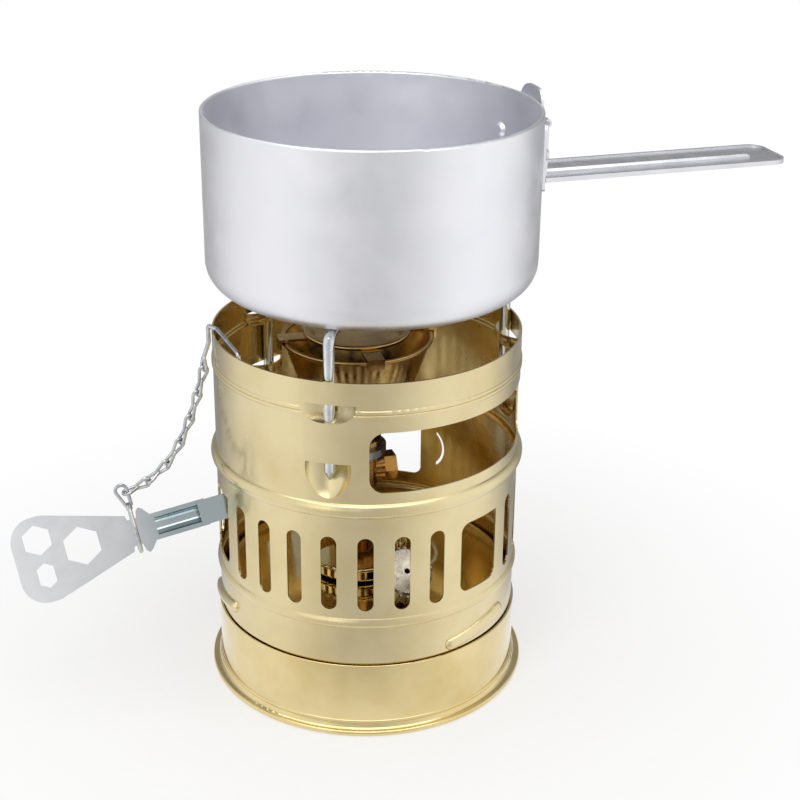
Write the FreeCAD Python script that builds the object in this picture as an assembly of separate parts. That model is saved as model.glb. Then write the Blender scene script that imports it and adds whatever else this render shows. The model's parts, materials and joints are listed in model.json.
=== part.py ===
import FreeCAD, Part
import math
import os

V = FreeCAD.Vector
UP = V(0, 0, 1)
ORIGIN = V(0, 0, 0)

# The stove stands on z = 0 with its axis on Z. The valve key leaves it along -X and the pan handle
# along +X. Sizes are millimetres, and angles are degrees from +X, anticlockwise seen from above.

# Tank
foot_radius = 50.0
foot_lip = 1.7
foot_groove = 0.35
tank_radius = 47.15
tank_wall = 0.8
tank_seam_z = 4.0
tank_floor_z = 2.4
tank_step_z = 23.2
tank_step_edge = 0.4
tank_top_radius = 45.6
tank_shoulder_z = 32.5
tank_shoulder_bend = 4.0
tank_crown_z = 34.2

# Windscreen
screen_radius = 46.45
screen_wall = 0.5
screen_bottom_z = 23.8
screen_top_z = 113.65
low_bead_z = 37.4
low_bead_height = 0.8
low_bead_half = 1.6
seat_bead_z = 74.3
seat_bead_height = 1.6
seat_bead_half = 2.3
rim_bead_z = 104.2
rim_bead_height = 0.4
rim_bead_half = 0.65
slot_bottom_z = 41.7
slot_top_z = 65.7
slot_width = 4.7
slots_per_turn = 27
slots_per_port = 7
port_half_angle = 9.6
port_bottom_z = 42.3
port_top_z = 65.2
port_corner = 3.0
port_angles = (180.0, -60.0, 60.0)
window_angle = -60.0
window_half_angle = 45.4
window_bottom_z = 80.1
window_top_z = 98.8
window_corner = 4.5
plain_angles = (-3.0, 43.0)
slit_angle = 49.3
slit_z = 53.3
slit_radius = 7.5
slit_width = 0.9
slit_reach = 50.0
ramp_angles = (180.0, -60.0, 60.0)
ramp_z = 27.5
ramp_rise = 9.0
ramp_half_angle = 13.5
ramp_radius = 2.0
stud_radius = 0.8
stud_height = 1.3
stud_offset = 8.0

# Pot supports
support_angles = (-120.0, 0.0, 120.0)
support_wire = 1.65
support_gap = 0.2
support_play = 0.12
scoop_room = 0.35
support_tip_z = 83.0
support_tip_length = 2.6
support_bend = 2.8
support_arm_reach = 16.0
upper_scoop_top_z = 106.9
upper_scoop_bottom_z = 101.1
upper_scoop_half = 8.0
lower_scoop_top_z = 88.9
lower_scoop_bottom_z = 77.8
lower_scoop_half = 6.6

# Pan
pan_radius = 48.9
pan_wall = 1.1
pan_bottom_z = 127.62
pan_top_z = 179.34
pan_corner = 8.0
pan_x = 1.34
pan_y = -0.39
seat_gap = 0.12

# Handle bracket, hinge and handle
strap_gap = 0.05
strap_thickness = 0.8
strap_half_angle = 22.0
strap_bottom_z = 155.6
strap_top_z = 175.2
tab_half_width = 8.5
tab_top_z = 182.6
tab_corner = 5.5
hinge_z = 173.3
hinge_offset = 1.5
knuckle_radius = 1.25
hinge_pin_radius = 0.6
hinge_pin_fit = 0.02
hinge_pin_play = 0.08
knuckle_half = 5.5
knuckle_gap = 0.25
rivet_angle = 19.0
rivet_z = 166.3
rivet_radius = 1.2
rivet_head_radius = 2.3
rivet_head_height = 0.9
rivet_tail_radius = 1.85
rivet_tail_height = 0.7
handle_half_width = 10.0
handle_thickness = 0.9
handle_top_z = 157.0
handle_reach = 130.3
handle_tip_radius = 5.0
handle_edge = 0.5
handle_rib_half = 3.2
handle_rib_height = 1.1
handle_rib_margin = 10.0
handle_gusset = 5.0

# Burner column
burner_x = -3.2
stem_radius = 3.7
stem_bore = 2.7
stem_bottom_z = 7.0
stem_top_z = 62.0
collar_radius = 6.5
collar_height = 1.5
wick_radius = 2.5
wick_bottom_z = 4.2
wick_top_z = 55.0
cup_radius = 17.4
cup_floor_radius = 16.6
cup_top_z = 39.2
cup_wall = 0.6
stem_nut_flats = 13.0
stem_nut_height = 5.0
body_radius = 6.3
body_bottom_z = 60.0
body_top_z = 72.2
passage_radius = 1.2
fit_gap = 0.05
face_gap = 0.1

# Valve
spindle_droop = 10.13
spindle_wall_z = 58.47
arm_radius = 5.3
back_arm_radius = 4.2
back_arm_z = 65.7
arm_length = 16.0
valve_bore = 2.6
spindle_radius = 2.5
spindle_square = 3.5
square_start = 38.0
square_end = 48.5
seat_start = 3.4
seat_clearance = 0.15
cone_length = 2.6
cone_tip_radius = 0.5
packing_radius = 3.8
packing_start = 11.0
packing_end = 17.8
packing_nut_flats = 12.0
packing_nut_start = 13.5
packing_nut_wall_start = 18.0
packing_nut_end = 21.0
plug_flats = 8.0
plug_length = 4.0
plug_start = 8.0

# Burner head
jet_ring_radius = 9.0
jet_ring_bore = 5.6
jet_ring_height = 2.3
jet_flats = 7.0
jet_height = 5.0
jet_hex_height = 2.2
jet_cone_radius = 2.6
jet_tip_radius = 1.0
jet_hole = 0.5
bell_neck_radius = 7.4
bell_floor_z = 87.0
bell_base_radius = 15.0
bell_rim_radius = 22.3
bell_rim_z = 110.0
bell_wall = 0.7
bell_rim_roll = 0.75
air_port_bottom_z = 77.0
air_port_top_z = 85.8
air_port_half_width = 4.6
air_ports = 3
spreader_radius = 16.2
spreader_z = 111.6
spreader_thickness = 0.8
spreader_rim = 1.0
spreader_arms = 4
spreader_arm_angle = -92.5
spreader_arm_half = 2.6
clip_drop = 2.4
clip_thickness = 0.8

# Filler
filler_angle = -85.0
filler_tilt = 36.0
filler_face_r = 33.4
filler_face_z = 46.4
cap_radius = 7.8
cap_height = 6.5
cap_top = 1.5
neck_radius = 4.8
neck_bore = 3.5
neck_length = 14.0
boss_radius = 6.3
boss_length = 8.0
cap_thread_gap = 0.1
gasket_thickness = 1.0
vent_radius = 0.9
cap_edge = 0.6
seal_gap = 0.03
valve_cage_radius = 2.9
valve_cage_bore = 2.2
valve_cage_length = 7.0
pip_radius = 1.9
pip_height = 2.0
spring_radius = 1.6
spring_wire = 0.25
spring_turns = 5

# Key
key_thickness = 1.5
key_lean = 62.0
socket_outer = 7.6
socket_inner = 3.8
socket_start = -4.0
socket_end = 7.0
gutter_end = 22.0
gutter_outer = 4.1
gutter_inner = 2.8
foot_start = 21.4
foot_peak = 24.2
foot_half = 7.0
waist_start = 25.6
waist_end = 28.3
paddle_neck_half = 5.6
paddle_half = 13.0
paddle_wide_at = 53.0
paddle_end = 63.2
paddle_corner = 7.5
big_hex_flats = 10.2
big_hex_at = (43.1, 0.6)
small_hex_flats = 8.0
small_hex_at = (55.5, 5.9)
long_hex_width = 5.1
long_hex_length = 7.6
long_hex_at = (55.4, -5.0)

# Chain
chain_wire = 0.5
link_ring = 1.35
link_waist = 0.62
link_knot = 0.55
link_cross = 0.22
link_play = 0.14
link_slopes = (-72.0, -69.0, -63.0, -52.0, -32.0)
hook_angle = 170.2
hook_turn = 29.0
hook_wire = 0.65
hook_gap = 0.3
chain_start_z = 101.4
chain_start_out = 0.9
loop_at = 26.75
loop_ring = 5.95
loop_top = 7.6
loop_neck = 0.8
loop_knot = 0.95
eye_neck = 0.9
eye_wire = 0.52
eye_top = 15.0
eye_ring = 1.7
eye_lean = 1.0
eye_grip = 13.8


def polar(radius, angle, z=0.0):
    a = math.radians(angle)
    return V(radius * math.cos(a), radius * math.sin(a), z)


def lathe(start, steps, centre=(0.0, 0.0)):
    """Solid of revolution about Z from an outline of (r, z) points; a pair of points is an arc."""
    edges = []
    here = V(start[0], 0, start[1])
    first = here
    for step in steps:
        if isinstance(step[0], tuple):
            middle = V(step[0][0], 0, step[0][1])
            there = V(step[1][0], 0, step[1][1])
            edges.append(Part.Arc(here, middle, there).toShape())
        else:
            there = V(step[0], 0, step[1])
            edges.append(Part.makeLine(here, there))
        here = there
    edges.append(Part.makeLine(here, first))
    solid = Part.Face(Part.Wire(edges)).revolve(ORIGIN, UP, 360)
    solid.translate(V(centre[0], centre[1], 0))
    return solid


def rod(radius, start, end):
    return Part.makeCylinder(radius, (end - start).Length, start, end - start)


def tube(outer, inner, start, end):
    return rod(outer, start, end).cut(rod(inner, start, end))


def hex_bar(flats, start, end, side):
    """Hexagonal bar from start to end; side is a direction across one pair of flats."""
    along = (end - start).normalize()
    across = along.cross(side).normalize()
    side = across.cross(along).normalize()
    corner = flats / math.sqrt(3)
    points = []
    for i in range(6):
        a = math.radians(30 + 60 * i)
        points.append(start + side * (corner * math.cos(a)) + across * (corner * math.sin(a)))
    points.append(points[0])
    return Part.Face(Part.makePolygon(points)).extrude(end - start)


def wire_rod(points, bends, radius):
    """Round wire along straight runs joined by tangent arcs; bends are the arcs' radii."""
    edges = []
    here = points[0]
    for i in range(1, len(points) - 1):
        back = (points[i - 1] - points[i]).normalize()
        ahead = (points[i + 1] - points[i]).normalize()
        half = back.getAngle(ahead) / 2
        setback = bends[i - 1] / math.tan(half)
        start = points[i] + back * setback
        end = points[i] + ahead * setback
        towards = (back + ahead).normalize()
        middle = points[i] + towards * (bends[i - 1] / math.sin(half) - bends[i - 1])
        edges.append(Part.makeLine(here, start))
        edges.append(Part.Arc(start, middle, end).toShape())
        here = end
    edges.append(Part.makeLine(here, points[-1]))
    path = Part.Wire(edges)
    section = Part.Wire(Part.makeCircle(radius, points[0], points[1] - points[0]))
    return path.makePipeShell([section], True, False)


def sector(inner, outer, bottom, top, middle_angle, half_angle):
    """Block between two radii and two heights, over an angle."""
    start = polar(1, middle_angle - half_angle)
    height = top - bottom
    sweep = 2 * half_angle
    big = Part.makeCylinder(outer, height, V(0, 0, bottom), UP, sweep)
    block = big.cut(Part.makeCylinder(inner, height, V(0, 0, bottom)))
    block.rotate(ORIGIN, UP, math.degrees(math.atan2(start.y, start.x)))
    return block


def rounded_port(bottom, top, middle_angle, half_angle, corner, sharp_top_end=False):
    """Cutter for an opening in the screen with rounded corners."""
    inner = screen_radius - 2.5
    outer = screen_radius + 2.5
    inset = math.degrees(corner / screen_radius)
    cutter = sector(inner, outer, bottom + corner, top - corner, middle_angle, half_angle)
    cutter = cutter.fuse(sector(inner, outer, bottom, top, middle_angle, half_angle - inset))
    for side in (-1, 1):
        for z in (bottom + corner, top - corner):
            a = middle_angle + side * (half_angle - inset)
            cutter = cutter.fuse(rod(corner, polar(inner, a, z), polar(outer, a, z)))
    if sharp_top_end:
        a = middle_angle + half_angle - inset
        cutter = cutter.fuse(sector(inner, outer, top - 2 * corner, top, a, inset))
    return cutter


def spindle_point(distance, lift=0.0, side=0.0):
    """Point on the valve axis at a distance out from the burner, raised or moved aside."""
    return spindle_origin + spindle_axis * distance + spindle_up * lift + V(0, side, 0)


droop = math.radians(spindle_droop)
spindle_axis = V(-math.cos(droop), 0, -math.sin(droop))
spindle_up = V(-math.sin(droop), 0, math.cos(droop))
spindle_origin = V(burner_x, 0, spindle_wall_z + (screen_radius + burner_x) * math.tan(droop))
wall_distance = (screen_radius + burner_x) / math.cos(droop)
burner_centre = (burner_x, 0.0)
pan_centre = (pan_x, pan_y)
support_ring = screen_radius - screen_wall - support_gap - support_wire


def at_burner(z, dx=0.0, dy=0.0):
    return V(burner_x + dx, dy, z)


def make_tank_base():
    flat = 1.2
    lip = foot_lip / 2
    return lathe(
        (0, tank_floor_z),
        [
            (tank_radius - 2.2, tank_floor_z),
            ((tank_radius - 0.4, tank_floor_z - 0.9), (foot_radius - lip - flat, 0)),
            (foot_radius - lip, 0),
            ((foot_radius, lip), (foot_radius - lip, foot_lip)),
            ((tank_radius + 0.9, foot_lip + foot_groove), (tank_radius + 0.3, foot_lip + 4 * foot_groove)),
            ((tank_radius + 0.35, tank_seam_z - 0.4), (tank_radius, tank_seam_z)),
            (tank_radius - tank_wall - 0.2, tank_seam_z),
            (tank_radius - tank_wall - 0.8, tank_floor_z + tank_wall),
            (0, tank_floor_z + tank_wall),
        ],
    )


def tank_filling():
    """Everything up to just above the tank's top."""
    return lathe(
        (0, 0),
        [
            (tank_top_radius, 0),
            (tank_top_radius, tank_shoulder_z + face_gap),
            (tank_top_radius - tank_shoulder_bend, tank_shoulder_z + face_gap),
            (0, tank_crown_z + face_gap),
        ],
    )


def crown_inside_z(radius):
    """Height of the crown's inner face at a distance from the tank's axis."""
    slope = (tank_crown_z - tank_shoulder_z) / (tank_top_radius - tank_shoulder_bend)
    return tank_crown_z - tank_wall - slope * radius


def make_tank_shell():
    bend = tank_shoulder_bend
    edge = tank_step_edge
    corner = edge * (1 - math.sqrt(0.5))
    outer = tank_top_radius
    inner = tank_top_radius - tank_wall
    diagonal = bend * (1 - math.sqrt(0.5))
    low = tank_shoulder_z - bend
    shell = lathe(
        (tank_radius, tank_seam_z),
        [
            (tank_radius, tank_step_z - edge),
            ((tank_radius - corner, tank_step_z - corner), (tank_radius - edge, tank_step_z)),
            (outer, tank_step_z),
            (outer, low),
            ((outer - diagonal, tank_shoulder_z - diagonal), (outer - bend, tank_shoulder_z)),
            (0, tank_crown_z),
            (0, tank_crown_z - tank_wall),
            (outer - bend, tank_shoulder_z - tank_wall),
            (
                (inner - diagonal + tank_wall * 0.3, tank_shoulder_z - tank_wall - diagonal + 0.3),
                (inner, low),
            ),
            (inner, tank_step_z - tank_wall),
            (tank_radius - tank_wall, tank_step_z - tank_wall - edge),
            (tank_radius - tank_wall, tank_seam_z),
        ],
    )
    hole = stem_radius + fit_gap
    shell = shell.cut(rod(hole, at_burner(tank_shoulder_z - bend), at_burner(tank_crown_z + 2)))
    return shell.cut(rod(neck_radius + fit_gap, filler_point(-cap_height - neck_length), filler_point(0)))


def make_bayonet_studs():
    studs = []
    for middle in ramp_angles:
        a = middle + stud_offset
        rise = math.sin(math.radians(stud_offset)) * math.sin(math.radians(ramp_rise))
        z = ramp_z + tank_top_radius * rise
        start = polar(tank_top_radius, a, z)
        end = polar(tank_top_radius + stud_height, a, z)
        stud = rod(stud_radius, start, end)
        studs.append(stud.cut(Part.makeCylinder(tank_top_radius, tank_shoulder_z, ORIGIN)))
    return Part.makeCompound(studs)


def make_priming_cup():
    floor = tank_crown_z + face_gap
    return lathe(
        (stem_radius + fit_gap, floor),
        [
            (cup_floor_radius - 1.0, floor),
            ((cup_floor_radius - 0.3, floor + 0.3), (cup_floor_radius, floor + 1.0)),
            (cup_floor_radius, cup_top_z - 1.2),
            ((cup_radius, cup_top_z - 0.6), (cup_radius - 0.4, cup_top_z)),
            (cup_floor_radius - cup_wall, cup_top_z - 0.3),
            (cup_floor_radius - cup_wall, floor + 1.0),
            (cup_floor_radius - cup_wall - 0.4, floor + cup_wall),
            (stem_radius + fit_gap, floor + cup_wall),
        ],
        burner_centre,
    )


def make_stem_nut():
    bottom = at_burner(tank_crown_z + face_gap + cup_wall)
    top = bottom + UP * stem_nut_height
    nut = hex_bar(stem_nut_flats, bottom, top, V(1, 0, 0))
    return nut.cut(rod(stem_radius + fit_gap, bottom, top))


def make_stem_tube():
    collar_top = crown_inside_z(abs(burner_x) + collar_radius) - fit_gap
    stem = rod(stem_radius, at_burner(stem_bottom_z), at_burner(stem_top_z))
    stem = stem.fuse(rod(collar_radius, at_burner(collar_top - collar_height), at_burner(collar_top)))
    return stem.cut(rod(stem_bore, at_burner(stem_bottom_z), at_burner(stem_top_z)))


def make_wick():
    return rod(wick_radius, at_burner(wick_bottom_z), at_burner(wick_top_z))


def make_burner_body():
    column = rod(body_radius, at_burner(body_bottom_z), at_burner(body_top_z))
    column = column.makeChamfer(0.8, column.Edges)
    front = rod(arm_radius, spindle_point(0), spindle_point(arm_length))
    back = rod(back_arm_radius, at_burner(back_arm_z), at_burner(back_arm_z, plug_start))
    body = column.fuse([front, back])
    body = body.cut(rod(stem_radius + fit_gap, at_burner(body_bottom_z), at_burner(stem_top_z + 0.1)))
    body = body.cut(rod(passage_radius, at_burner(stem_top_z), at_burner(body_top_z)))
    body = body.cut(rod(passage_radius, spindle_point(0), spindle_point(seat_start + cone_length)))
    touch = (passage_radius - cone_tip_radius) / (spindle_radius - cone_tip_radius)
    seat = seat_start + cone_length * touch
    body = body.cut(rod(valve_bore, spindle_point(seat), spindle_point(arm_length)))
    chamber = rod(
        packing_radius + fit_gap, spindle_point(packing_start - face_gap), spindle_point(arm_length)
    )
    return body.cut(chamber)


def make_body_plug():
    inner = at_burner(back_arm_z, plug_start + 0.05)
    outer = at_burner(back_arm_z, plug_start + plug_length)
    return hex_bar(plug_flats, inner, outer, UP)


def make_packing_nut():
    start = spindle_point(packing_nut_start)
    wall = spindle_point(packing_nut_wall_start)
    end = spindle_point(packing_nut_end)
    nut = hex_bar(packing_nut_flats, start, end, spindle_up)
    nut = nut.cut(rod(arm_radius + fit_gap, start, wall))
    return nut.cut(rod(spindle_radius + 0.15, start, end))


def make_spindle_packing():
    start = spindle_point(packing_start)
    end = spindle_point(packing_end)
    return tube(packing_radius, spindle_radius + fit_gap, start, end)


def make_valve_spindle():
    cone_start = seat_start + seat_clearance
    tip = Part.makeCone(
        cone_tip_radius, spindle_radius, cone_length, spindle_point(cone_start), spindle_axis
    )
    shaft = rod(spindle_radius, spindle_point(cone_start + cone_length), spindle_point(square_start))
    half = spindle_square / 2
    corners = [(half, half), (half, -half), (-half, -half), (-half, half), (half, half)]
    lean = math.radians(key_lean)
    points = []
    for along, across in corners:
        lift = along * math.sin(lean) - across * math.cos(lean)
        side = along * math.cos(lean) + across * math.sin(lean)
        points.append(spindle_point(square_start - 0.1, lift, side))
    square = Part.Face(Part.makePolygon(points)).extrude(spindle_axis * (square_end - square_start + 0.1))
    return tip.fuse([shaft, square])


def make_jet_ring():
    base = body_top_z + face_gap
    return tube(jet_ring_radius, jet_ring_bore, at_burner(base), at_burner(base + jet_ring_height))


def make_jet():
    base = body_top_z + face_gap
    shoulder = base + jet_hex_height
    jet = hex_bar(jet_flats, at_burner(base), at_burner(shoulder), V(0, 1, 0))
    tip = Part.makeCone(jet_cone_radius, jet_tip_radius, jet_height - jet_hex_height, at_burner(shoulder), UP)
    jet = jet.fuse(tip)
    jet = jet.cut(rod(passage_radius, at_burner(base), at_burner(shoulder + 0.6)))
    return jet.cut(rod(jet_hole, at_burner(base), at_burner(base + jet_height)))


def make_bell():
    w = bell_wall
    roll = bell_rim_roll
    neck = bell_neck_radius
    neck_bottom = body_top_z + 2 * face_gap + jet_ring_height
    cup = lathe(
        (neck, neck_bottom),
        [
            (neck, bell_floor_z),
            (bell_base_radius - 2.0, bell_floor_z),
            ((bell_base_radius - 0.5, bell_floor_z + 0.6), (bell_base_radius, bell_floor_z + 2.2)),
            (bell_rim_radius, bell_rim_z - roll),
            ((bell_rim_radius + roll, bell_rim_z), (bell_rim_radius, bell_rim_z + roll)),
            ((bell_rim_radius - w * 0.75, bell_rim_z + roll * 0.6), (bell_rim_radius - w, bell_rim_z - 0.4)),
            (bell_base_radius - w, bell_floor_z + 2.4),
            (
                (bell_base_radius - w - 0.4, bell_floor_z + w + 0.5),
                (bell_base_radius - 2.2, bell_floor_z + w),
            ),
            (neck - 1.0, bell_floor_z + w),
            (neck - 1.0, neck_bottom),
        ],
        burner_centre,
    )
    for i in range(air_ports):
        block = Part.makeBox(
            neck + 1, 2 * air_port_half_width, air_port_top_z - air_port_bottom_z,
            V(2.5, -air_port_half_width, air_port_bottom_z),
        )
        block.rotate(ORIGIN, UP, 360.0 * i / air_ports - 60)
        block.translate(V(burner_x, 0, 0))
        cup = cup.cut(block)
    return cup


def make_spreader():
    z = spreader_z
    t = spreader_thickness
    rim = spreader_rim
    r = spreader_radius
    dish = lathe(
        (0, z - 1.4),
        [
            (r - 3.5, z - 1.4),
            (r - 1.6, z - 0.2),
            (r - rim, z - 0.2),
            ((r, z + 0.5), (r - rim, z + 1.2)),
            (r - 1.8, z + 1.2),
            (r - 3.6, z - 1.4 + t),
            (0, z - 1.4 + t),
        ],
        burner_centre,
    )
    rim_out = bell_rim_radius + bell_rim_roll + 0.25
    clip_top = bell_rim_z + bell_rim_roll + 0.15
    for i in range(spreader_arms):
        arm = Part.makeBox(
            rim_out + clip_thickness - (r - 1.2), 2 * spreader_arm_half, clip_thickness,
            V(r - 1.2, -spreader_arm_half, clip_top),
        )
        clip = Part.makeBox(
            clip_thickness, 2 * spreader_arm_half, clip_drop + clip_thickness,
            V(rim_out, -spreader_arm_half, clip_top - clip_drop),
        )
        arm = arm.fuse(clip)
        arm.rotate(ORIGIN, UP, spreader_arm_angle + i * 360.0 / spreader_arms)
        arm.translate(V(burner_x, 0, 0))
        dish = dish.fuse(arm)
    return dish


def screen_outline():
    beads = (
        (low_bead_z, low_bead_height, low_bead_half),
        (seat_bead_z, seat_bead_height, seat_bead_half),
        (rim_bead_z - rim_bead_half, rim_bead_height, rim_bead_half),
        (rim_bead_z + rim_bead_half, rim_bead_height, rim_bead_half),
    )
    outer = screen_radius
    inner = screen_radius - screen_wall
    steps = []
    for z, height, half in beads:
        steps.append((outer, z - half))
        steps.append(((outer + height, z), (outer, z + half)))
    steps.append((outer, screen_top_z))
    steps.append((inner, screen_top_z))
    for z, height, half in reversed(beads):
        steps.append((inner, z + half))
        steps.append(((inner + height, z), (inner, z - half)))
    steps.append((inner, screen_bottom_z))
    start = (outer, screen_bottom_z)
    outline = []
    here = start
    for step in steps:
        is_arc = isinstance(step[0], tuple)
        end = step[1] if is_arc else step
        if is_arc or math.dist(here, end) > 1e-6:
            outline.append(step)
        here = end
    return start, outline


def scoop_solids(top, bottom, half, angle):
    """The air of a pressed-in scoop, and the scoop's sheet behind it."""
    depth = screen_radius - (support_ring - support_wire - scoop_room)
    chord = screen_radius - math.sqrt(screen_radius ** 2 - half ** 2)
    deep = depth - chord
    ball = (half ** 2 + deep ** 2) / (2 * deep)
    axis_r = screen_radius - depth + ball
    shallow = axis_r - screen_radius
    air_low = max(shallow - 0.3, 0.5)
    mid = (air_low + (ball - air_low) * 0.82, bottom + (top - bottom) * 0.42)
    wall = screen_wall
    air = lathe((0, top), [(ball, top), (mid, (air_low, bottom)), (0, bottom)])
    cover = lathe(
        (0, top),
        [
            (ball + wall, top),
            ((mid[0] + wall * 0.8, mid[1] - wall * 0.6), (air_low + wall * 0.5, bottom - wall)),
            (0, bottom - wall),
        ],
    )
    move = polar(axis_r, angle)
    air.translate(move)
    cover.translate(move)
    sheet = cover.cut(air)
    inside = Part.makeCylinder(screen_radius, screen_top_z, ORIGIN)
    return air, sheet.common(inside)


def make_windscreen():
    start, steps = screen_outline()
    screen = lathe(start, steps)
    ports = []
    for port in port_angles:
        ports.append(
            rounded_port(port_bottom_z, port_top_z, port, port_half_angle, port_corner, True)
        )
        for i in range(slots_per_port):
            a = port + (i + 1.5) * 360.0 / slots_per_turn
            if plain_angles[0] < a < plain_angles[1]:
                continue
            low = slot_bottom_z + slot_width / 2
            high = slot_top_z - slot_width / 2
            inner = screen_radius - 2.5
            outer = screen_radius + 2.5
            slot = Part.makeBox(
                outer - inner, slot_width, high - low, V(inner, -slot_width / 2, low)
            )
            slot = slot.fuse([
                rod(slot_width / 2, V(inner, 0, low), V(outer, 0, low)),
                rod(slot_width / 2, V(inner, 0, high), V(outer, 0, high)),
            ])
            slot.rotate(ORIGIN, UP, a)
            ports.append(slot)
    ports.append(
        rounded_port(window_bottom_z, window_top_z, window_angle, window_half_angle, window_corner)
    )
    ports.append(make_slit())
    screen = screen.cut(ports)
    for middle in ramp_angles:
        outside, inside = ramp_solids(middle)
        screen = screen.fuse(outside.common(sleeve(screen_radius - screen_wall, screen_radius + 4)))
        screen = screen.cut(inside)
    for angle in support_angles:
        for top, bottom, half in (
            (upper_scoop_top_z, upper_scoop_bottom_z, upper_scoop_half),
            (lower_scoop_top_z, lower_scoop_bottom_z, lower_scoop_half),
        ):
            air, sheet = scoop_solids(top, bottom, half, angle)
            screen = screen.cut(air).fuse(sheet)
        channel = rod(
            support_wire + support_play,
            polar(support_ring, angle, lower_scoop_top_z + 2),
            polar(support_ring, angle, upper_scoop_top_z),
        )
        screen = screen.cut(channel)
    return screen


def sleeve(inner, outer):
    low = screen_bottom_z - 5
    return tube(outer, inner, V(0, 0, low), V(0, 0, screen_top_z))


def make_slit():
    """Crescent slit beside the third port."""
    ring_out = slit_radius + slit_width / 2
    ring_in = slit_radius - slit_width / 2
    inner = screen_radius - 2.5
    outer = screen_radius + 2.5
    ring = tube(ring_out, ring_in, V(inner, 0, slit_z), V(outer, 0, slit_z))
    reach = slit_radius * math.cos(math.radians(slit_reach))
    keep = Part.makeBox(10, 10, 30, V(inner - 2, -reach - 10, slit_z - 15))
    ring = ring.common(keep)
    ring.rotate(ORIGIN, UP, slit_angle)
    return ring


def ramp_solids(middle):
    """Outer and inner volumes of a bayonet ramp, a ridge pressed outward along a slanted ring."""
    sweep = 2 * ramp_half_angle
    ring = screen_radius - 0.5
    parts = []
    for radius in (ramp_radius, ramp_radius - screen_wall):
        section = Part.Face(Part.Wire(Part.makeCircle(radius, V(ring, 0, 0), V(0, 1, 0))))
        solid = section.revolve(ORIGIN, UP, sweep)
        ends = [Part.makeSphere(radius, polar(ring, a), polar(1, a + 90)) for a in (0, sweep)]
        solid = solid.fuse(ends).removeSplitter()
        solid.rotate(ORIGIN, UP, -ramp_half_angle)
        solid.rotate(ORIGIN, V(1, 0, 0), ramp_rise)
        solid.rotate(ORIGIN, UP, middle)
        solid.translate(V(0, 0, ramp_z))
        parts.append(solid)
    return parts


def make_support(angle):
    top_z = pan_bottom_z - seat_gap - support_wire
    tip_top = support_tip_z + support_tip_length
    leg_top = polar(support_ring, angle, top_z)
    arm_end = polar(support_arm_reach, angle, top_z)
    bar = wire_rod([polar(support_ring, angle, tip_top), leg_top, arm_end], [support_bend], support_wire)
    tip = Part.makeCone(
        0.5, support_wire, support_tip_length, polar(support_ring, angle, support_tip_z), UP
    )
    return bar.fuse(tip)


def make_pan():
    r = pan_radius
    w = pan_wall
    low = pan_bottom_z
    c = pan_corner
    bend = c * (1 - math.sqrt(0.5))
    inner_bend = (c - w) * (1 - math.sqrt(0.5))
    lip = w / 2
    return lathe(
        (0, low),
        [
            (r - c, low),
            ((r - bend, low + bend), (r, low + c)),
            (r, pan_top_z - lip),
            ((r - lip, pan_top_z), (r - w, pan_top_z - lip)),
            (r - w, low + c),
            ((r - w - inner_bend, low + w + inner_bend), (r - c, low + w)),
            (0, low + w),
        ],
        pan_centre,
    ).cut(rivet_holes())


def rivet_line(angle):
    start = polar(pan_radius - pan_wall - 3, angle, rivet_z) + V(pan_x, pan_y, 0)
    end = polar(pan_radius + 3, angle, rivet_z) + V(pan_x, pan_y, 0)
    return start, end


def rivet_holes():
    holes = []
    for side in (-1, 1):
        start, end = rivet_line(side * rivet_angle)
        holes.append(rod(rivet_radius + fit_gap, start, end))
    return holes


def make_bracket():
    inner = pan_radius + strap_gap
    outer = inner + strap_thickness
    ring = tube(outer, inner, V(0, 0, strap_bottom_z), V(0, 0, tab_top_z))
    half = outer * math.sin(math.radians(strap_half_angle))
    length = outer + 5
    strap = Part.makeBox(length, 2 * half, strap_top_z - strap_bottom_z, V(20, -half, strap_bottom_z))
    strap = strap.makeFillet(2.5, [e for e in strap.Edges if is_along(e, V(1, 0, 0))])
    tab = Part.makeBox(
        length, 2 * tab_half_width, tab_top_z - strap_bottom_z, V(20, -tab_half_width, strap_bottom_z)
    )
    top_edges = [e for e in tab.Edges if is_along(e, V(1, 0, 0)) and e.Vertexes[0].Z > hinge_z]
    tab = tab.makeFillet(tab_corner, top_edges)
    plate = ring.common(strap.fuse(tab))
    axis_x = pan_radius + hinge_offset
    window = Part.makeBox(
        10, 2 * (knuckle_half + knuckle_gap), 2 * (knuckle_radius + knuckle_gap),
        V(axis_x - 5, -knuckle_half - knuckle_gap, hinge_z - knuckle_radius - knuckle_gap),
    )
    plate = plate.cut(window)
    for side in (-1, 1):
        start = V(axis_x, side * (knuckle_half + knuckle_gap), hinge_z)
        end = V(axis_x, side * tab_half_width, hinge_z)
        plate = plate.fuse(rod(knuckle_radius, start, end))
    hole = rod(hinge_pin_radius + hinge_pin_fit, V(axis_x, -30, hinge_z), V(axis_x, 30, hinge_z))
    plate = plate.cut(hole)
    wall = Part.makeCylinder(inner, 60, V(0, 0, strap_bottom_z - 2))
    plate = plate.cut(wall)
    plate.translate(V(pan_x, pan_y, 0))
    return plate.cut(rivet_holes())


def is_along(edge, direction):
    if len(edge.Vertexes) != 2:
        return False
    run = edge.Vertexes[1].Point - edge.Vertexes[0].Point
    return run.Length > 1e-6 and abs(abs(run.normalize().dot(direction)) - 1) < 1e-6


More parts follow.
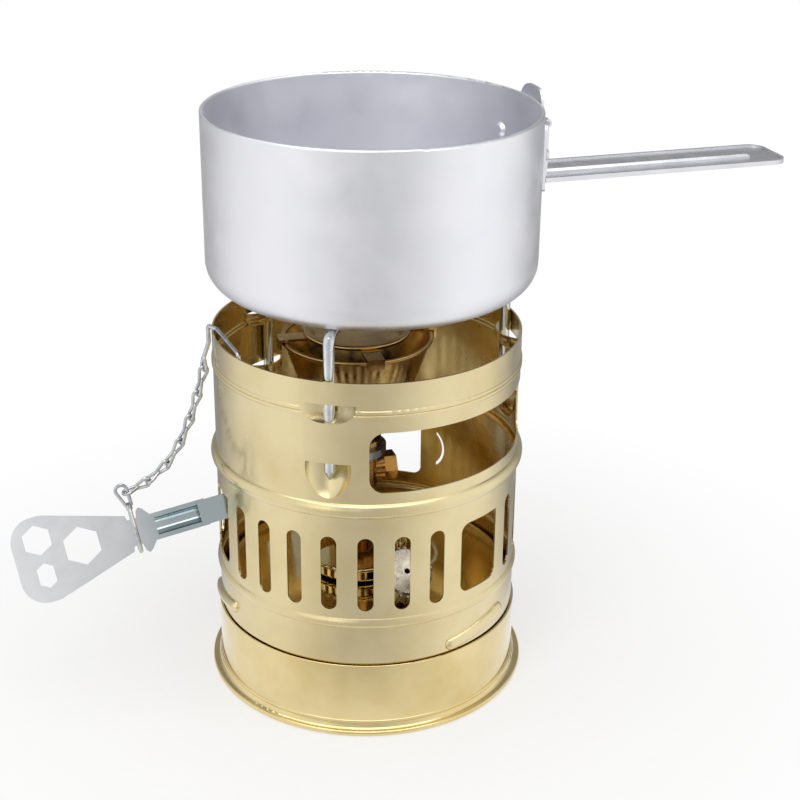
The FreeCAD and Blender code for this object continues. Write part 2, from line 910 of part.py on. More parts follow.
def make_rivets():
    rivets = []
    for side in (-1, 1):
        out = polar(1, side * rivet_angle)
        centre = V(pan_x, pan_y, rivet_z)
        inner = centre + out * (pan_radius - pan_wall)
        outer = centre + out * (pan_radius + strap_gap + strap_thickness)
        shank = rod(rivet_radius, inner - out * 0.2, outer + out * 0.4)
        head = Part.makeCone(
            rivet_head_radius, rivet_head_radius * 0.55, rivet_head_height, inner - out * 0.12, -out
        )
        tail = Part.makeCone(
            rivet_tail_radius, rivet_tail_radius * 0.55, rivet_tail_height, outer + out * 0.12, out
        )
        rivets.append(shank.fuse([head, tail]))
    return Part.makeCompound(rivets)


def hinge_point(y):
    return V(pan_x + pan_radius + hinge_offset, pan_y + y, hinge_z)


def make_hinge_pin():
    return rod(hinge_pin_radius, hinge_point(-tab_half_width - 0.3), hinge_point(tab_half_width + 0.3))


def make_handle():
    t = handle_thickness
    half = handle_half_width
    hinge_x = pan_x + pan_radius + hinge_offset
    flange_in = hinge_x - t / 2
    tip = pan_x + handle_reach
    bottom = handle_top_z - t
    strip = Part.makeBox(tip - flange_in, 2 * half, t, V(flange_in, pan_y - half, bottom))
    strip = strip.makeFillet(handle_tip_radius, tip_edges(strip))
    border = Part.makeBox(
        tip - flange_in, 2 * half, handle_edge, V(flange_in, pan_y - half, handle_top_z)
    )
    border = border.makeFillet(handle_tip_radius, tip_edges(border))
    field = Part.makeBox(
        tip - t - flange_in, 2 * (half - t), handle_edge, V(flange_in, pan_y - half + t, handle_top_z)
    )
    field = field.makeFillet(handle_tip_radius - t, tip_edges(field))
    rib_start = flange_in + t
    rib_end = tip - handle_rib_margin
    rib = Part.makeBox(
        rib_end - rib_start, 2 * handle_rib_half, handle_rib_height,
        V(rib_start, pan_y - handle_rib_half, handle_top_z),
    )
    half_up = handle_top_z + handle_rib_height / 2
    rib_edges = [e for e in rib.Edges if min(v.Z for v in e.Vertexes) > half_up]
    far_edges = [e for e in rib_edges if max(v.X for v in e.Vertexes) > rib_end - 1]
    rib = rib.makeChamfer(handle_rib_height * 0.6, far_edges)
    flange_top = hinge_z - knuckle_radius - knuckle_gap
    flange = Part.makeBox(
        t, 2 * tab_half_width, flange_top - bottom, V(flange_in, pan_y - tab_half_width, bottom)
    )
    neck = Part.makeBox(
        t, 2 * knuckle_half, hinge_z - flange_top, V(flange_in, pan_y - knuckle_half, flange_top)
    )
    knuckle = rod(knuckle_radius, hinge_point(-knuckle_half), hinge_point(knuckle_half))
    gusset = Part.makeBox(
        t, 2 * handle_rib_half, handle_gusset, V(flange_in + t, pan_y - handle_rib_half, handle_top_z)
    )
    handle = strip.fuse([border.cut(field), rib, flange, neck, knuckle, gusset])
    bore = hinge_pin_radius + hinge_pin_play
    return handle.cut(rod(bore, hinge_point(-knuckle_half - 1), hinge_point(knuckle_half + 1)))


def tip_edges(box):
    """Upright edges at the outer end of a box along X."""
    end = box.BoundBox.XMax - 1
    return [e for e in box.Edges if is_along(e, UP) and e.Vertexes[0].X > end]


def filler_axis():
    out = polar(1, filler_angle)
    tilt = math.radians(filler_tilt)
    return out * math.sin(tilt) + UP * math.cos(tilt)


def filler_point(distance):
    """Point on the filler's axis, at a distance above the cap's top face."""
    return polar(filler_face_r, filler_angle, filler_face_z) + filler_axis() * distance


def make_filler_neck():
    top = -cap_top - gasket_thickness - fit_gap
    neck = tube(neck_radius, neck_bore, filler_point(top - neck_length), filler_point(top))
    boss_top = -cap_height - 1.0
    boss = tube(boss_radius, neck_radius - 0.3, filler_point(boss_top - boss_length), filler_point(boss_top))
    return neck.fuse(boss.cut(tank_filling()))


def make_filler_cap():
    outside = rod(cap_radius, filler_point(-cap_height), filler_point(0))
    outside = outside.makeChamfer(cap_edge, [e for e in outside.Edges if e.Length > cap_radius])
    inside = rod(neck_radius + cap_thread_gap, filler_point(-cap_height), filler_point(-cap_top))
    return outside.cut(inside).cut(rod(vent_radius, filler_point(-cap_top), filler_point(0)))


def make_valve_cage():
    low = filler_point(-cap_top - valve_cage_length)
    return tube(valve_cage_radius, valve_cage_bore, low, filler_point(-cap_top - seal_gap))


def make_filler_gasket():
    low = filler_point(-cap_top - gasket_thickness)
    high = filler_point(-cap_top - seal_gap)
    return tube(neck_radius, valve_cage_radius + fit_gap, low, high)


def make_safety_retainer():
    low = -cap_top - valve_cage_length + 0.3
    return tube(valve_cage_bore - seal_gap, 0.7, filler_point(low), filler_point(low + 1.2))


def make_safety_spring():
    low = -cap_top - valve_cage_length + 1.6
    high = -cap_top - pip_height - 0.2
    height = high - low - 2 * spring_wire
    helix = Part.makeHelix(height / spring_turns, height, spring_radius)
    section = Part.Wire(Part.makeCircle(spring_wire, V(spring_radius, 0, 0), V(0, 1, 0)))
    spring = Part.Wire(helix.Edges).makePipeShell([section], True, True)
    turn = FreeCAD.Rotation(UP, filler_axis())
    spring.Placement = FreeCAD.Placement(filler_point(low + spring_wire), turn)
    return spring


def make_safety_pip():
    return rod(pip_radius, filler_point(-cap_top - pip_height), filler_point(-cap_top - seal_gap))


def key_frame():
    """Wall point, outward axis, the paddle's width direction and its face direction."""
    lean = math.radians(key_lean)
    wide = V(0, math.cos(lean), 0) + spindle_up * math.sin(lean)
    return spindle_point(wall_distance), spindle_axis, wide, wide.cross(spindle_axis)


def key_point(along, across, lift=0.0):
    base, axis, wide, face = key_frame()
    return base + axis * along + wide * across + face * lift


def key_plate(points, thickness=key_thickness):
    low = [key_point(a, b, -thickness / 2) for a, b in points]
    low.append(low[0])
    return Part.Face(Part.makePolygon(low)).extrude(key_frame()[3] * thickness)


def make_key():
    base, axis, wide, face = key_frame()
    half = gutter_outer
    near = [(foot_start - 1, half), (foot_start, half), (foot_peak - 1, foot_half - 0.6),
            (foot_peak, foot_half), (foot_peak + 0.9, foot_half - 0.8), (waist_start, half),
            (waist_end, half), (waist_end + 0.4, paddle_neck_half), (paddle_wide_at, paddle_half),
            (paddle_end, paddle_half)]
    far = [(a, -b) for a, b in reversed(near)]
    plate = key_plate(near + far)
    ends = [e for e in plate.Edges if is_along(e, face) and end_of_paddle(e)]
    plate = plate.makeFillet(paddle_corner, ends)
    for flats, centre in ((big_hex_flats, big_hex_at), (small_hex_flats, small_hex_at)):
        low = key_point(centre[0], centre[1], -key_thickness)
        high = key_point(centre[0], centre[1], key_thickness)
        plate = plate.cut(hex_bar(flats, low, high, axis))
    w = long_hex_width / 2
    h = long_hex_length / 2
    slope = w / math.sqrt(3)
    at, off = long_hex_at
    long_hex = [(at, off + h), (at + w, off + h - slope), (at + w, off - h + slope),
                (at, off - h), (at - w, off - h + slope), (at - w, off + h - slope)]
    plate = plate.cut(key_plate(long_hex, 3 * key_thickness))
    gutter = tube(gutter_outer, gutter_inner, base + axis * (socket_end - 2.5), base + axis * gutter_end)
    reach = gutter_outer + 1
    corners = [(-reach, key_thickness / 2), (reach, key_thickness / 2), (reach, -reach), (-reach, -reach)]
    corners = [key_point(0, across, lift) for across, lift in corners]
    behind = Part.Face(Part.makePolygon(corners + corners[:1])).extrude(axis * gutter_end)
    gutter = gutter.common(behind)
    socket = socket_block(socket_outer, socket_start, socket_end)
    key = socket.fuse([gutter, plate])
    return key.cut(socket_block(socket_inner, socket_start - 1, socket_end + 0.5))


def end_of_paddle(edge):
    base, axis, wide, face = key_frame()
    return (edge.Vertexes[0].Point - base).dot(axis) > paddle_wide_at - 1


def socket_block(size, start, end):
    h = size / 2
    corners = [key_point(start, b, n) for b, n in ((h, h), (h, -h), (-h, -h), (-h, h), (h, h))]
    return Part.Face(Part.makePolygon(corners)).extrude(spindle_axis * (end - start))


def belt(first, first_radius, second, second_radius, wire, across):
    """Closed wire round two circles, in the plane through their centres and across."""
    along = second - first
    length = along.Length
    along = along.normalize()
    across = along.cross(across).cross(along).normalize()
    sine = (first_radius - second_radius) / length
    cosine = math.sqrt(1 - sine * sine)
    lean = along * sine + across * cosine
    mirror = along * sine - across * cosine
    edges = [
        Part.Arc(
            first + mirror * first_radius, first - along * first_radius, first + lean * first_radius
        ).toShape(),
        Part.makeLine(first + lean * first_radius, second + lean * second_radius),
        Part.Arc(
            second + lean * second_radius, second + along * second_radius, second + mirror * second_radius
        ).toShape(),
        Part.makeLine(second + mirror * second_radius, first + mirror * first_radius),
    ]
    start = first + mirror * first_radius
    tangent = mirror.cross(along.cross(across))
    section = Part.Wire(Part.makeCircle(wire, start, tangent))
    return Part.Wire(edges).makePipeShell([section], True, False)


def chain_path():
    """Junctions from the hook to the eye over the key, and the chain's direction seen from above."""
    start = polar(screen_radius + hook_gap + hook_wire + 0.9, hook_angle)
    end = loop_point(0, eye_grip) + spindle_axis * (eye_lean - eye_ring + eye_wire + link_play)
    run = V(end.x - start.x, end.y - start.y, 0).normalize()
    here = start + run * chain_start_out + UP * chain_start_z
    steps = []
    for slope in link_slopes:
        s = math.radians(slope)
        steps.append(run * math.cos(s) + UP * math.sin(s))
    pitch = link_pitch(end - here, sum(steps, ORIGIN))
    points = [here]
    for step in steps:
        here = here + step * pitch
        points.append(here)
    points.append(end)
    return points, run


def link_pitch(span, turns):
    """Pitch at which one last link of that same length closes the span after the given unit steps."""
    a = turns.dot(turns) - 1
    b = span.dot(turns)
    return (b - math.sqrt(b * b - a * span.dot(span))) / a


def loop_point(side, lift):
    return spindle_point(wall_distance + loop_at, lift, side)


def make_link(pitch):
    """Link standing on Z: two wire loops at right angles, joined by a knot."""
    reach = link_ring - chain_wire - link_play / 2
    middle = UP * (pitch / 2)
    inset = UP * (link_waist - link_cross)
    low = belt(middle - inset, link_waist, UP * reach, link_ring, chain_wire, V(1, 0, 0))
    high = belt(middle + inset, link_waist, UP * (pitch - reach), link_ring, chain_wire, V(0, 1, 0))
    knot = rod(link_knot, middle - UP * link_waist, middle + UP * link_waist)
    return low.fuse(knot).fuse(high)


def make_chain_links():
    points, run = chain_path()
    across = run.cross(UP)
    link = make_link((points[1] - points[0]).Length)
    links = []
    for here, there in zip(points, points[1:]):
        along = (there - here).normalize()
        turn = FreeCAD.Rotation(across.cross(along), across, along, "ZYX")
        links.append(link.transformed(FreeCAD.Placement(here, turn).toMatrix()))
    return Part.makeCompound(links)


def make_chain_hook():
    points, run = chain_path()
    across = run.cross(UP)
    reach = link_ring - chain_wire - link_play / 2
    ring_at = points[0] + UP * reach
    ring_top = ring_at + UP * 2.2
    ring = belt(ring_top, link_waist, ring_at, link_ring, chain_wire, across)
    outside = screen_radius + hook_gap + hook_wire
    inside = screen_radius - screen_wall - hook_gap - hook_wire
    top = screen_top_z + hook_wire + 0.6
    shank = [
        ring_top + UP * (link_waist - 0.1),
        polar(outside, hook_angle, screen_top_z - 4),
        polar(outside, hook_angle, top),
        polar(inside, hook_angle + 4, top),
        polar(inside, hook_angle + hook_turn, top - 0.8),
        polar(inside, hook_angle + hook_turn + 2, top - 6),
    ]
    return ring.fuse(wire_rod(shank, [3.0, 0.9, 0.9, 1.2], hook_wire))


def make_key_loop():
    ring = belt(loop_point(0, 0), loop_ring, loop_point(0, loop_top), loop_neck, hook_wire, V(0, 1, 0))
    low = loop_point(0, loop_top + loop_neck + 0.7 + eye_neck)
    top = loop_point(0, eye_top) + spindle_axis * eye_lean
    eye = belt(low, eye_neck, top, eye_ring, eye_wire, spindle_axis)
    knot = rod(loop_knot, loop_point(0, loop_top + loop_neck - 0.3), low)
    return ring.fuse([eye, knot])


nodes = {
    "tank_base": make_tank_base,
    "tank_shell": make_tank_shell,
    "bayonet_studs": make_bayonet_studs,
    "filler_neck": make_filler_neck,
    "filler_cap": make_filler_cap,
    "valve_cage": make_valve_cage,
    "filler_gasket": make_filler_gasket,
    "safety_pip": make_safety_pip,
    "safety_spring": make_safety_spring,
    "safety_retainer": make_safety_retainer,
    "priming_cup": make_priming_cup,
    "stem_nut": make_stem_nut,
    "stem_tube": make_stem_tube,
    "wick": make_wick,
    "burner_body": make_burner_body,
    "body_plug": make_body_plug,
    "packing_nut": make_packing_nut,
    "spindle_packing": make_spindle_packing,
    "valve_spindle": make_valve_spindle,
    "jet_ring": make_jet_ring,
    "jet": make_jet,
    "burner_bell": make_bell,
    "flame_spreader": make_spreader,
    "windscreen": make_windscreen,
    "pan": make_pan,
    "handle_bracket": make_bracket,
    "bracket_rivets": make_rivets,
    "hinge_pin": make_hinge_pin,
    "pan_handle": make_handle,
    "stove_key": make_key,
    "chain_hook": make_chain_hook,
    "chain_links": make_chain_links,
    "key_loop": make_key_loop,
}

os.makedirs("parts", exist_ok=True)
for name, make in nodes.items():
    make().exportStep("parts/" + name + ".step")
for number, angle in enumerate(support_angles, 1):
    make_support(angle).exportStep("parts/pot_support_%d.step" % number)
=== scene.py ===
import json
import math

import bpy
from mathutils import Matrix, Vector


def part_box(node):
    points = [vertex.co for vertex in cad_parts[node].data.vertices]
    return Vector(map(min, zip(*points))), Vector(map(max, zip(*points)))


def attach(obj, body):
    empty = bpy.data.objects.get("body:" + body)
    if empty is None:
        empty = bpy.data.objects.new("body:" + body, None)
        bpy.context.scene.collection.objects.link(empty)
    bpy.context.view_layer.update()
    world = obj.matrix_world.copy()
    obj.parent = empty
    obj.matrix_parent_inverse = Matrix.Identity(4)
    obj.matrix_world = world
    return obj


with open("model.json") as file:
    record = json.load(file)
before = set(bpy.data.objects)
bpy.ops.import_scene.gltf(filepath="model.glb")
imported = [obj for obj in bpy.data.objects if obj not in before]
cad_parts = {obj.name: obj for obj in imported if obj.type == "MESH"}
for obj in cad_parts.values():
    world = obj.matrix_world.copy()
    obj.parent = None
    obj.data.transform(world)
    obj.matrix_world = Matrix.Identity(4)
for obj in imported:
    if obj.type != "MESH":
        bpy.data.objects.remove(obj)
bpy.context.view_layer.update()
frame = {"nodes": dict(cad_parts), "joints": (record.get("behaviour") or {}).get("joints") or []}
nodes = frame["nodes"]


mm = 0.001


# Colour and nodes

def linear(code):
    """Linear RGBA of an sRGB colour written as hex."""
    out = []
    for i in (1, 3, 5):
        c = int(code[i:i + 2], 16) / 255
        out.append(c / 12.92 if c <= 0.04045 else ((c + 0.055) / 1.055) ** 2.4)
    return out + [1.0]


def add_node(tree, kind, inputs, **settings):
    """Node with its settings. Inputs go by name or number, and one given a socket is linked to it."""
    node = tree.nodes.new("ShaderNode" + kind)
    for name, value in settings.items():
        setattr(node, name, value)
    for key, value in inputs.items():
        if isinstance(value, bpy.types.NodeSocket):
            tree.links.new(value, node.inputs[key])
        else:
            node.inputs[key].default_value = value
    return node


# Sockets of the Mix node that are used when it mixes colours
share_in, first_in, second_in, colour_out = 0, 6, 7, 2


def new_material(name):
    mat = bpy.data.materials.new(name)
    mat.use_nodes = True
    mat.node_tree.nodes.clear()
    return mat


def mottle(tree, patch, levels, spread=(0.35, 0.65), detail=3.0, squeeze=(1, 1, 1)):
    """Uneven pattern between two levels, with patches of a real size that squeeze makes narrower."""
    where = add_node(tree, "TexCoord", {}).outputs["Object"]
    squeezed = add_node(tree, "Mapping", {"Vector": where, "Scale": squeeze}).outputs[0]
    cloud = add_node(tree, "TexNoise", {
        "Vector": squeezed, "Scale": 1 / patch, "Detail": detail, "Roughness": 0.55,
    }).outputs["Fac"]
    low, high = spread
    return add_node(tree, "MapRange", {
        "Value": cloud, "From Min": low, "From Max": high, "To Min": levels[0], "To Max": levels[1],
    }).outputs[0]


def two_tone(tree, base, tint, patch, most=1.0, spread=(0.35, 0.65)):
    """Base colour with soft patches of a tint."""
    share = mottle(tree, patch, (0.0, most), spread)
    colours = {share_in: share, first_in: linear(base), second_in: linear(tint)}
    return add_node(tree, "Mix", colours, data_type="RGBA").outputs[colour_out]


def relief(tree, grain, strength, detail=2.0, squeeze=(1, 1, 1)):
    """Normal of a surface with an uneven relief, whose grain has a real size."""
    whole = (0, 1)
    height = mottle(tree, grain, whole, whole, detail, squeeze)
    return add_node(tree, "Bump", {"Height": height, "Strength": strength, "Distance": 0.2 * mm}).outputs[0]


# Metals

def tool_marks(tree):
    """Level marks of turning, drawing or rolling, 0.05 mm apart. They only soften a highlight's edge."""
    mark_pitch, mark_run = 0.05 * mm, 12
    return relief(tree, mark_pitch * mark_run, 0.02, squeeze=(1, 1, mark_run))


def spun_satin(tree):
    """Matt grain of satin aluminium. It is about 0.05 mm, and is drawn at 0.35 mm so that it shows."""
    return relief(tree, 0.35 * mm, 0.12)


def metal(name, base, tint, rough, patch, lacquer=0.0, surface=tool_marks, recolour=None, repolish=None):
    """Metal with patches of tint, and a polish that varies over smaller patches between two roughnesses."""
    mat = new_material(name)
    tree = mat.node_tree
    colour = two_tone(tree, base, tint, patch, 0.6, (0.4, 0.7))
    if recolour:
        colour = recolour(tree, colour)
    polish = mottle(tree, 0.4 * patch, rough)
    if repolish:
        polish = repolish(tree, polish)
    shader = add_node(tree, "BsdfPrincipled", {
        "Base Color": colour, "Metallic": 1.0, "Roughness": polish, "Normal": surface(tree),
        "Coat Weight": lacquer, "Coat Roughness": 0.08,
    })
    add_node(tree, "OutputMaterial", {"Surface": shader.outputs[0]})
    return mat


def brighter_cup(tree, polish):
    """The priming cup stands above the tank's crown and is polished brighter than the tank."""
    cup_low, cup_high = 34 * mm, 38 * mm
    where = add_node(tree, "TexCoord", {}).outputs["Object"]
    height = add_node(tree, "SeparateXYZ", {"Vector": where}).outputs["Z"]
    share = add_node(tree, "MapRange", {
        "Value": height, "From Min": cup_low, "From Max": cup_high, "To Min": 1.0, "To Max": 0.3,
    }).outputs[0]
    return add_node(tree, "Math", {0: polish, 1: share}, operation="MULTIPLY").outputs[0]


def painted_inside_reflection_and_shade(tree, colour):
    """Painted reflection and painted shade: faces that look towards the stove's axis are painted a deeper
    yellow, in place of the brass they reflect and the shade inside the windscreen.
    """
    # Distance from the axis along the face's normal, negative where the face looks inward
    inward, sideways = -30 * mm, -10 * mm
    place = add_node(tree, "TexCoord", {}).outputs
    outward = add_node(tree, "Mapping", {"Vector": place["Object"], "Scale": (1, 1, 0)}).outputs[0]
    facing = add_node(
        tree, "VectorMath", {0: outward, 1: place["Normal"]}, operation="DOT_PRODUCT"
    ).outputs["Value"]
    share = add_node(tree, "MapRange", {
        "Value": facing, "From Min": inward, "From Max": sideways, "To Min": 1.0, "To Max": 0.0,
    }).outputs[0]
    # Deeper yellow of the painted reflection and shade on inward faces
    colours = {share_in: share, first_in: colour, second_in: linear("#DABE7A")}
    return add_node(tree, "Mix", colours, data_type="RGBA").outputs[colour_out]


def painted_shank_reflection(tree, colour):
    """Painted reflection: from the key's waist to its shank the zinc is painted a cooler, darker grey, in
    place of the darker reflection the shank shows.
    """
    waist, shank = -78 * mm, -62 * mm
    where = add_node(tree, "TexCoord", {}).outputs["Object"]
    along = add_node(tree, "SeparateXYZ", {"Vector": where}).outputs["X"]
    share = add_node(tree, "MapRange", {
        "Value": along, "From Min": waist, "From Max": shank, "To Min": 0.0, "To Max": 1.0,
    }).outputs[0]
    # Cooler grey of the painted reflection on the shank
    colours = {share_in: share, first_in: colour, second_in: linear("#BDC8CB")}
    return add_node(tree, "Mix", colours, data_type="RGBA").outputs[colour_out]


# Spun and polished under lacquer: pale yellow, with clear reflections that waver over 18 mm patches.
tank_brass = metal(
    "polished tank brass", "#E8D49C", "#D6BA74", (0.07, 0.15), 18 * mm, lacquer=0.7,
    repolish=brighter_cup,
)
# Rolled sheet under lacquer: paler than the tank, with wide soft highlights along the beads. Its inward
# faces carry a painted deeper-yellow reflection and shade.
screen_brass = metal(
    "satin windscreen brass", "#E4D4A6", "#D2BC84", (0.16, 0.28), 22 * mm, lacquer=0.7,
    recolour=painted_inside_reflection_and_shade,
)
# Turned from bar and left bare: a darker, redder gold.
fitting_brass = metal("machined fitting brass", "#BE8E4C", "#946630", (0.14, 0.28), 5 * mm)
# Spun, then toned by heat: yellow that goes brown in patches.
burner_brass = metal("heat toned burner brass", "#C4A264", "#7C6034", (0.1, 0.24), 9 * mm)
# Plated over turned brass: a warm grey with soft highlights on each rib.
nickel = metal("satin nickel plate", "#C9C2B2", "#A89E8A", (0.18, 0.3), 4 * mm)
# Turned and darkened by heat: a dull mid grey against the brass.
grey_steel = metal("turned grey steel", "#8E9196", "#6F7278", (0.25, 0.4), 5 * mm)
# Stamped sheet, zinc plated: nearly white, and as smooth as the rolled sheet under it, with a painted
# cooler reflection towards the shank.
zinc_plate = metal("bright zinc plate", "#F2F3F5", "#D6DBDF", (0.08, 0.18), 16 * mm, recolour=painted_shank_reflection)
# Drawn wire, plated: white and dark lines that follow the bends.
zinc_wire = metal("bright plated wire", "#E4E7E9", "#AEB5BA", (0.04, 0.1), 4 * mm)
# Thin drawn wire, twisted into links: small bright points on a mid grey.
chain_steel = metal("bright drawn chain wire", "#D2D5D8", "#8E9499", (0.04, 0.12), 3 * mm)
# Drawn hard: an even grey with a soft gloss.
spring_steel = metal("drawn spring steel", "#B9BBBE", "#9C9FA3", (0.2, 0.3), 3 * mm)
# Spun and left satin: an even silver grey that shows no clear reflection.
pan_aluminium = metal(
    "satin spun aluminium", "#ECECF1", "#E2E3E8", (0.34, 0.44), 30 * mm, surface=spun_satin
)
# Pressed from sheet: as pale as the pan, and smoother.
pressed_aluminium = metal("pressed aluminium", "#E2E2E7", "#D2D3D8", (0.26, 0.38), 12 * mm)


# Packings, rubber and cotton

def soft_part(name, base, tint, rough):
    """Matt part whose grain of crumbs or strands, 1.5 mm across, shows in colour and in relief."""
    mat = new_material(name)
    tree = mat.node_tree
    grain = 1.5 * mm
    shader = add_node(tree, "BsdfPrincipled", {
        "Base Color": two_tone(tree, base, tint, grain), "Roughness": rough,
        "Normal": relief(tree, grain, 0.2, detail=3.0),
    })
    add_node(tree, "OutputMaterial", {"Surface": shader.outputs[0]})
    return mat


# Pressed from crumbs with a rubber binder: dark brown and dry.
cork = soft_part("pressed cork gasket", "#3A342C", "#241F1A", 0.8)
# Moulded: black, with a little sheen.
rubber = soft_part("moulded valve rubber", "#222222", "#151515", 0.6)
# Pressed from flake: dark grey and dull.
graphite = soft_part("pressed graphite packing", "#38393C", "#232427", 0.7)
# Twisted from undyed yarn: cream and fully matt.
cotton = soft_part("twisted cotton wick", "#DCCFAE", "#BFAF8A", 0.9)


pieces_in = (
    (tank_brass, ("tank_base", "tank_shell", "bayonet_studs", "priming_cup")),
    (screen_brass, ("windscreen",)),
    (fitting_brass, (
        "filler_neck", "valve_cage", "safety_retainer", "stem_nut", "stem_tube", "burner_body", "body_plug",
        "packing_nut", "jet",
    )),
    (burner_brass, ("burner_bell", "flame_spreader")),
    (nickel, ("filler_cap",)),
    (grey_steel, ("jet_ring",)),
    (zinc_plate, ("stove_key",)),
    (zinc_wire, ("pot_support_1", "pot_support_2", "pot_support_3")),
    (chain_steel, ("chain_hook", "chain_links", "key_loop")),
    (spring_steel, ("safety_spring", "valve_spindle", "hinge_pin")),
    (pan_aluminium, ("pan", "bracket_rivets")),
    (pressed_aluminium, ("handle_bracket", "pan_handle")),
    (cork, ("filler_gasket",)),
    (rubber, ("safety_pip",)),
    (graphite, ("spindle_packing",)),
    (cotton, ("wick",)),
)
for finish, pieces in pieces_in:
    for piece in pieces:
        mesh = nodes[piece].data
        mesh.materials.clear()
        mesh.materials.append(finish)


# Edges and the cap's grip

def ease_edges(piece, width):
    """Small rounding that lets the sheared edges of a sheet catch the light."""
    edge = nodes[piece].modifiers.new("eased_edge", "BEVEL")
    edge.width = width
    edge.segments = 2
    edge.limit_method = "ANGLE"
    edge.angle_limit = math.radians(50)


ease_edges("stove_key", 0.4 * mm)
ease_edges("flame_spreader", 0.15 * mm)


def new_object(name, data):
    obj = bpy.data.objects.new(name, data)
    bpy.context.scene.collection.objects.link(obj)
    return obj


def cap_grip():
    """Ribs round the side of the filler cap, wider at the root than the crest and sunk a little into it."""
    rib_count = 24
    root_width, crest_width = 0.9 * mm, 0.45 * mm
    root_depth, crest_height = 0.3 * mm, 0.45 * mm
    below_face, above_mouth = 0.7 * mm, 0.6 * mm

    turn = next(joint for joint in frame["joints"] if joint["name"] == "filler_turn")
    axis, face = Vector(turn["axis"]), Vector(turn["pos_m"])
    across = axis.cross(Vector((axis.x, axis.y, 0))).normalized()
    aside = across.cross(axis)
    from_face = [vertex.co - face for vertex in nodes["filler_cap"].data.vertices]
    cap_radius = max((place - axis * place.dot(axis)).length for place in from_face)
    mouth = min(place.dot(axis) for place in from_face)

    root, crest = cap_radius - root_depth, cap_radius + crest_height
    profile = ((-root_width, root), (-crest_width, crest), (crest_width, crest), (root_width, root))
    points, faces = [], []
    for i in range(rib_count):
        angle = 2 * math.pi * i / rib_count
        outward = across * math.cos(angle) + aside * math.sin(angle)
        along = axis.cross(outward)
        first = len(points)
        for height in (mouth + above_mouth, -below_face):
            for width, reach in profile:
                points.append(face + axis * height + outward * reach + along * width / 2)
        for k in range(4):
            n = (k + 1) % 4
            faces.append((first + k, first + n, first + 4 + n, first + 4 + k))
        faces.append((first + 3, first + 2, first + 1, first))
        faces.append((first + 4, first + 5, first + 6, first + 7))
    mesh = bpy.data.meshes.new("cap_grip")
    mesh.from_pydata([tuple(point) for point in points], [], faces)
    mesh.materials.append(nickel)
    grip = new_object("cap_grip", mesh)
    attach(grip, "filler_cap_unit")


cap_grip()


# Floor, light and camera

def seen_directly(tree):
    """1 for what the camera, mirrors and glass see, and 0 for light that falls on a surface."""
    ray = add_node(tree, "LightPath", {}).outputs
    seen = ray["Is Camera Ray"]
    for kind in ("Is Glossy Ray", "Is Transmission Ray"):
        seen = add_node(tree, "Math", {0: seen, 1: ray[kind]}, operation="MAXIMUM").outputs[0]
    return seen


def floor_plane(half):
    """White paper that keeps the object's shadow near the foot and is plain white further away."""
    shadow_to, white_from = 60 * mm, 200 * mm
    mesh = bpy.data.meshes.new("floor")
    corners = [(-half, -half, 0), (half, -half, 0), (half, half, 0), (-half, half, 0)]
    mesh.from_pydata(corners, [], [(0, 1, 2, 3)])
    obj = new_object("floor", mesh)
    mat = new_material("white paper")
    tree = mat.node_tree
    colour = two_tone(tree, "#FCFCFC", "#FAFAFA", 3 * mm)
    paper = add_node(tree, "BsdfPrincipled", {"Base Color": colour, "Roughness": 0.9})
    white = add_node(tree, "Emission", {"Color": (1, 1, 1, 1), "Strength": 1.0})
    where = add_node(tree, "TexCoord", {}).outputs["Object"]
    away = add_node(tree, "VectorMath", {0: where}, operation="LENGTH").outputs["Value"]
    share = add_node(tree, "MapRange", {
        "Value": away, "From Min": shadow_to, "From Max": white_from, "To Min": 0.55, "To Max": 1.0,
    }).outputs[0]
    share = add_node(tree, "Math", {0: share, 1: seen_directly(tree)}, operation="MULTIPLY").outputs[0]
    both = add_node(tree, "MixShader", {0: share, 1: paper.outputs[0], 2: white.outputs[0]})
    add_node(tree, "OutputMaterial", {"Surface": both.outputs[0]})
    mesh.materials.append(mat)
    return obj


floor = floor_plane(3.0)


def soft_light(name, where, size, power):
    """Rectangular lamp with a diffuser, in metres and watts, aimed at the middle of the stove."""
    data = bpy.data.lights.new(name, "AREA")
    data.shape = "RECTANGLE"
    data.size, data.size_y = size
    data.energy = power
    obj = new_object(name, data)
    direction = Vector((0, 0, 0.1)) - Vector(where)
    turn = direction.to_track_quat("-Z", "Y").to_matrix().to_4x4()
    obj.matrix_world = Matrix.Translation(where) @ turn
    return obj


lights = [
    soft_light("key_light", (-0.75, -0.75, 0.65), (0.55, 0.8), 4.0),
    soft_light("fill_light", (0.95, -0.65, 0.45), (0.5, 0.9), 2.5),
    soft_light("top_light", (0.0, -0.1, 1.0), (0.9, 0.9), 3.2),
]


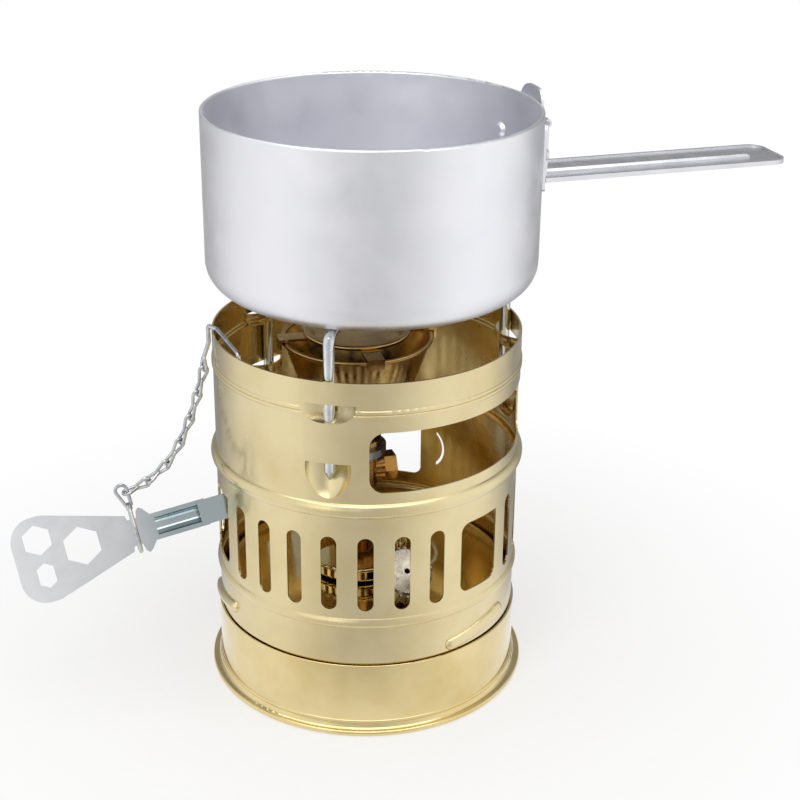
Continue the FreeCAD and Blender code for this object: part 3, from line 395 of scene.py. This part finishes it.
def light_tent():
    """Paper tent, bright to the left and right and greyer between, that shows in reflections alone."""
    steps = 48
    foot_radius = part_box("tank_base")[1].x
    inner, wall, top, lift = foot_radius + 2 * mm, 170 * mm, 300 * mm, 1 * mm
    plain_to, toned_from = 50 * mm, 85 * mm
    # Grey of the paper by its share of a turn, which starts at -X and goes by -Y, +X and +Y.
    greys = (
        (0.0, 0.97), (0.07, 1.0), (0.17, 0.6), (0.225, 0.6), (0.34, 1.0), (0.45, 0.97),
        (0.55, 0.33), (0.84, 0.3), (0.95, 0.9), (1.0, 0.97),
    )

    profile = ((inner, lift), (wall, lift), (wall, top))
    points, faces = [], []
    for i in range(steps):
        angle = 2 * math.pi * i / steps
        for radius, height in profile:
            points.append((radius * math.cos(angle), radius * math.sin(angle), height))
    for i in range(steps):
        n = (i + 1) % steps
        for k in (0, 1):
            faces.append((3 * i + k, 3 * n + k, 3 * n + k + 1, 3 * i + k + 1))
    mesh = bpy.data.meshes.new("light_tent")
    mesh.from_pydata(points, [], faces)

    mat = new_material("tent paper")
    tree = mat.node_tree
    where = add_node(tree, "TexCoord", {}).outputs["Object"]
    turned = add_node(tree, "TexGradient", {"Vector": where}, gradient_type="RADIAL").outputs["Fac"]
    tones = add_node(tree, "ValToRGB", {"Fac": turned})
    stops = tones.color_ramp.elements
    stops[0].position, stops[1].position = greys[0][0], greys[-1][0]
    for place, grey in greys[1:-1]:
        stops.new(place)
    for stop, (place, grey) in zip(stops, greys):
        stop.color = (grey, grey, grey, 1)
    away = add_node(tree, "VectorMath", {0: where}, operation="LENGTH").outputs["Value"]
    share = add_node(tree, "MapRange", {
        "Value": away, "From Min": plain_to, "From Max": toned_from, "To Min": 0.0, "To Max": 1.0,
    }).outputs[0]
    colours = {share_in: share, first_in: linear("#F6F6F6"), second_in: tones.outputs[0]}
    shade = add_node(tree, "Mix", colours, data_type="RGBA").outputs[colour_out]
    glow = add_node(tree, "Emission", {"Color": shade, "Strength": 1.0})
    add_node(tree, "OutputMaterial", {"Surface": glow.outputs[0]})
    mesh.materials.append(mat)

    tent = new_object("light_tent", mesh)
    for kind in ("visible_camera", "visible_diffuse", "visible_shadow", "visible_transmission"):
        setattr(tent, kind, False)
    return tent


light_tent()


def studio_world():
    """White to the camera, mirrors and glass, and softer as a light on the object."""
    room_light = 0.45
    world = bpy.data.worlds.new("studio")
    world.use_nodes = True
    tree = world.node_tree
    tree.nodes.clear()
    background = add_node(tree, "Background", {"Color": (1, 1, 1, 1)})
    room = add_node(tree, "Background", {"Color": (1, 1, 1, 1), "Strength": room_light})
    seen = seen_directly(tree)
    both = add_node(tree, "MixShader", {0: seen, 1: room.outputs[0], 2: background.outputs[0]})
    add_node(tree, "OutputWorld", {"Surface": both.outputs[0]})
    bpy.context.scene.world = world


studio_world()


def place_camera():
    """Camera from the position and angles that fit the photo, in metres and degrees."""
    position = (-0.12294, -0.42316, 0.28233)
    heading, pitch, roll = (math.radians(angle) for angle in (72.488, 23.7262, 0.6073))
    level = Vector((math.cos(heading), math.sin(heading), 0))
    ahead = level * math.cos(pitch) - Vector((0, 0, math.sin(pitch)))
    right = Vector((level.y, -level.x, 0))
    above = right.cross(ahead)
    turned_right = right * math.cos(roll) + above * math.sin(roll)
    turned_above = above * math.cos(roll) - right * math.sin(roll)
    data = bpy.data.cameras.new("camera")
    data.lens = 70.67
    data.sensor_width = 36
    data.clip_start = 0.01
    data.clip_end = 20
    obj = new_object("camera", data)
    turn = Matrix((turned_right, turned_above, -ahead)).transposed()
    obj.matrix_world = Matrix.Translation(position) @ turn.to_4x4()
    bpy.context.scene.camera = obj


place_camera()
bpy.context.scene.view_settings.view_transform = "Standard"
